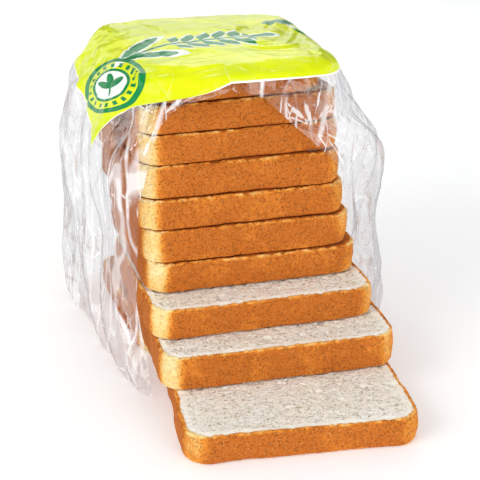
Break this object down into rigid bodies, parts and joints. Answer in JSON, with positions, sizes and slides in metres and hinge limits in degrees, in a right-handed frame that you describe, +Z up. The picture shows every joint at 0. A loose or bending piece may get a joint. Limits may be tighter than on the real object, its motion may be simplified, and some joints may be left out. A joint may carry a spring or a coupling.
{
  "type": "loaf in bread bag",
  "caption": "Sliced sandwich loaf standing on end under a loose clear bread bag, with the lowest slices slid out of its open front.",
  "frame": {"origin": "middle of the stack's floor slice, on the table plane", "axes": "+Z up; -Y out of the open side of the bag, towards the slice that lies in front; +X to the right seen from that side"},
  "size_m": [0.1667, 0.2381, 0.162],
  "materials": {
    "bread": "matt baked crust, with an off-white porous crumb on the cut faces",
    "film": "clear glossy film with a lime printed band over the closed end"
  },
  "bodies": {
    "root": {"slice_01": "bread", "slice_02": "bread", "slice_03": "bread", "slice_04": "bread", "slice_05": "bread", "slice_06": "bread", "slice_07": "bread", "slice_08": "bread", "slice_09": "bread", "slice_10": "bread", "slice_11": "bread", "bag": "film"}
  },
  "joints": []
}
